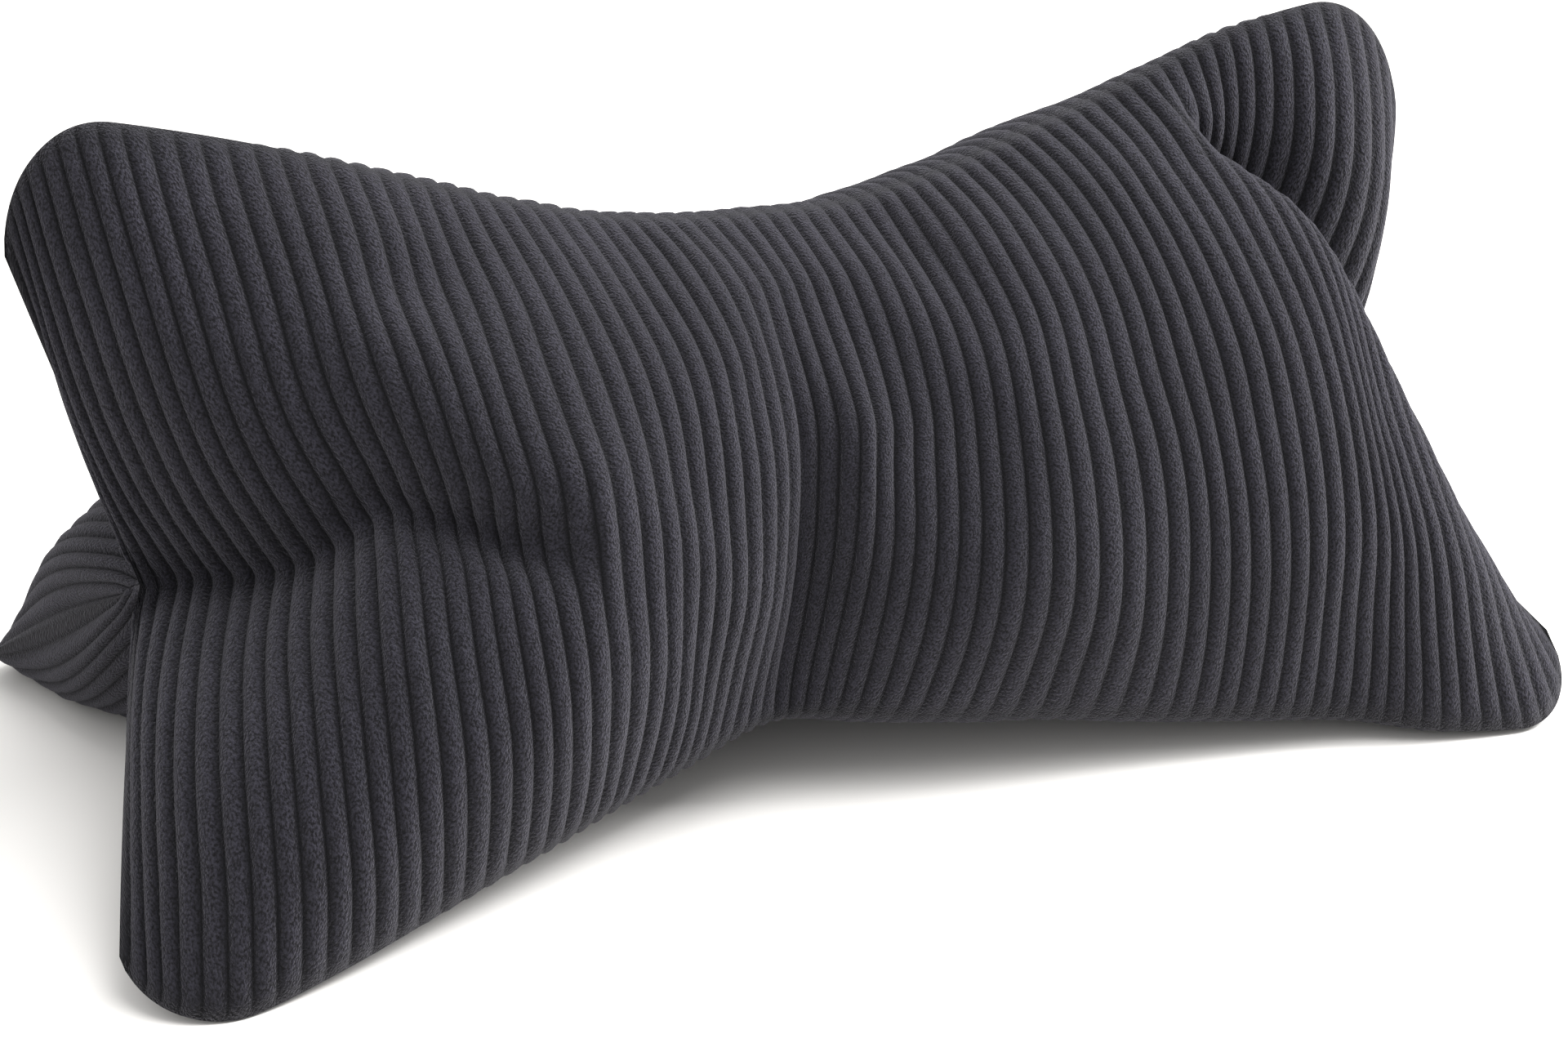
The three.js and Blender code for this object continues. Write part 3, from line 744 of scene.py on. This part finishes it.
def corduroy():
    """Wide-wale cotton corduroy, cut pile brushed one way. The eye gets dull charcoal ribs with a faint
    violet tint, near-black painted shade in the grooves between them and beside the seams, a fuzzy grain a
    millimetre across, bumped and speckled with painted tuft shadow and highlight, and a pale nap where it is
    grazed."""
    material = bpy.data.materials.new("cotton_corduroy_charcoal")
    material.use_nodes = True
    tree = material.node_tree
    tree.nodes.clear()
    places = node(tree, "ShaderNodeTexCoord")
    cloth = node(tree, "ShaderNodeUVMap", {"uv_map": "cloth"})
    # The mask of the painted groove and seam shade, from pillow_mesh().
    pile_shade_mask = node(tree, "ShaderNodeAttribute", {"attribute_name": "pile_shade_mask"})

    # A fine grain of tufts that lean across the rib, and a coarser one that groups them.
    leaning = node(
        tree,
        "ShaderNodeMapping",
        {"Rotation": (0.0, 0.0, TUFT_LEAN), "Scale": TUFT_STRETCH},
        Vector=cloth.outputs["UV"],
    )
    tufts = node(
        tree,
        "ShaderNodeTexNoise",
        {"Scale": TUFTS, "Detail": 1.0, "Roughness": 0.6},
        Vector=leaning.outputs["Vector"],
    )
    clumps = node(
        tree,
        "ShaderNodeTexNoise",
        {"Scale": CLUMPS, "Detail": 2.0, "Roughness": 0.55},
        Vector=leaning.outputs["Vector"],
    )
    patches = node(
        tree,
        "ShaderNodeTexNoise",
        {"Scale": PATCHES, "Detail": 3.0, "Roughness": 0.5},
        Vector=places.outputs["Object"],
    )

    grain = node(
        tree,
        "ShaderNodeMix",
        {"data_type": "FLOAT", 0: CLUMP_SHARE},
        _2=tufts.outputs["Fac"],
        _3=clumps.outputs["Fac"],
    )
    # Painted tuft shadow and highlight: the grain stretched to full contrast, to mix the two pile colours.
    painted_tuft_speckle = node(
        tree,
        "ShaderNodeMapRange",
        {"From Min": 0.39, "From Max": 0.61, "To Min": 0.0, "To Max": 1.0},
        Value=grain.outputs[0],
    )
    # The grain speckles the pile from dark to light, a painted shadow and highlight of the tufts; the grooves
    # between the ribs and the cloth beside the seams and end edges get a darker painted shade still.
    ribs = node(
        tree,
        "ShaderNodeMix",
        {"data_type": "RGBA", 6: linear(GROOVE_SHADE_COLOUR)},
        _0=pile_shade_mask.outputs["Fac"],
        _7=node(
            tree,
            "ShaderNodeMix",
            {"data_type": "RGBA", 6: linear(SHADED_TUFT_COLOUR), 7: linear(LIT_TUFT_COLOUR)},
            _0=painted_tuft_speckle.outputs[0],
        ).outputs[2],
    )
    # Each brushed patch is a little lighter or darker.
    shade = node(
        tree,
        "ShaderNodeMapRange",
        {"From Min": 0.3, "From Max": 0.7, "To Min": 0.88, "To Max": 1.12},
        Value=patches.outputs["Fac"],
    )
    colour = node(
        tree,
        "ShaderNodeVectorMath",
        {"operation": "SCALE"},
        _0=ribs.outputs[2],
        Scale=shade.outputs[0],
    )
    bump = node(
        tree,
        "ShaderNodeBump",
        {"Strength": 1.0, "Distance": TUFT_HEIGHT},
        Height=grain.outputs[0],
    )
    shader = node(
        tree,
        "ShaderNodeBsdfPrincipled",
        {
            "Roughness": 0.95,
            "Specular IOR Level": 0.2,
            "Sheen Weight": 0.17,
            "Sheen Roughness": 0.5,
            "Sheen Tint": linear(NAP_TINT),
        },
        Base_Color=colour.outputs[0],
        Normal=bump.outputs[0],
    )
    node(tree, "ShaderNodeOutputMaterial", Surface=shader.outputs[0])
    return material


def floor_material():
    """Matt white paper sweep: a plain pale surface with no gloss."""
    material = bpy.data.materials.new("matt_white_paper")
    material.use_nodes = True
    shader = material.node_tree.nodes["Principled BSDF"]
    shader.inputs["Base Color"].default_value = linear("#f4f2ef")
    shader.inputs["Roughness"].default_value = 1.0
    shader.inputs["Specular IOR Level"].default_value = 0.0
    return material


HALF_FLOOR = 4.0  # metres


def lay_floor():
    """A square floor at the height of the resting surface."""
    mesh = bpy.data.meshes.new("floor")
    corners = [(x * HALF_FLOOR, y * HALF_FLOOR, 0) for x, y in ((-1, -1), (1, -1), (1, 1), (-1, 1))]
    mesh.from_pydata(corners, [], [(0, 1, 2, 3)])
    mesh.materials.append(floor_material())
    floor = bpy.data.objects.new("floor", mesh)
    bpy.context.scene.collection.objects.link(floor)


def soft_light(name, place, aim, size, power):
    """A square area light at a place, facing a point, size in metres and power in watts."""
    data = bpy.data.lights.new(name, "AREA")
    data.size = size
    data.energy = power
    light = bpy.data.objects.new(name, data)
    light.location = place
    light.rotation_mode = "QUATERNION"
    light.rotation_quaternion = (Vector(aim) - Vector(place)).to_track_quat("-Z", "Y")
    bpy.context.scene.collection.objects.link(light)


def studio():
    """A white surround and two large soft lights: the brighter from the right, the other from above and in
    front. Plain colours, so that the white floor stays white."""
    bpy.context.scene.view_settings.view_transform = "Standard"
    world = bpy.data.worlds.new("white_surround")
    world.use_nodes = True
    world.node_tree.nodes["Background"].inputs["Color"].default_value = (1, 1, 1, 1)
    world.node_tree.nodes["Background"].inputs["Strength"].default_value = 1.0
    bpy.context.scene.world = world
    pillow_middle = (0, 0, 0.1)
    soft_light("key_light", (1.4, -0.35, 1.15), pillow_middle, size=0.8, power=52)
    soft_light("top_light", (0.3, -0.6, 1.6), pillow_middle, size=1.2, power=22)


def make_pillow():
    """The stuffed pillow with its corduroy, in the place of the part's solid."""
    pillow = bpy.data.objects.new("corduroy_pillow", pillow_mesh())
    bpy.context.scene.collection.objects.link(pillow)
    pillow.data.materials.append(corduroy())
    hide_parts("bone_pillow")
    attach(pillow, "root")


lay_floor()
studio()
make_pillow()
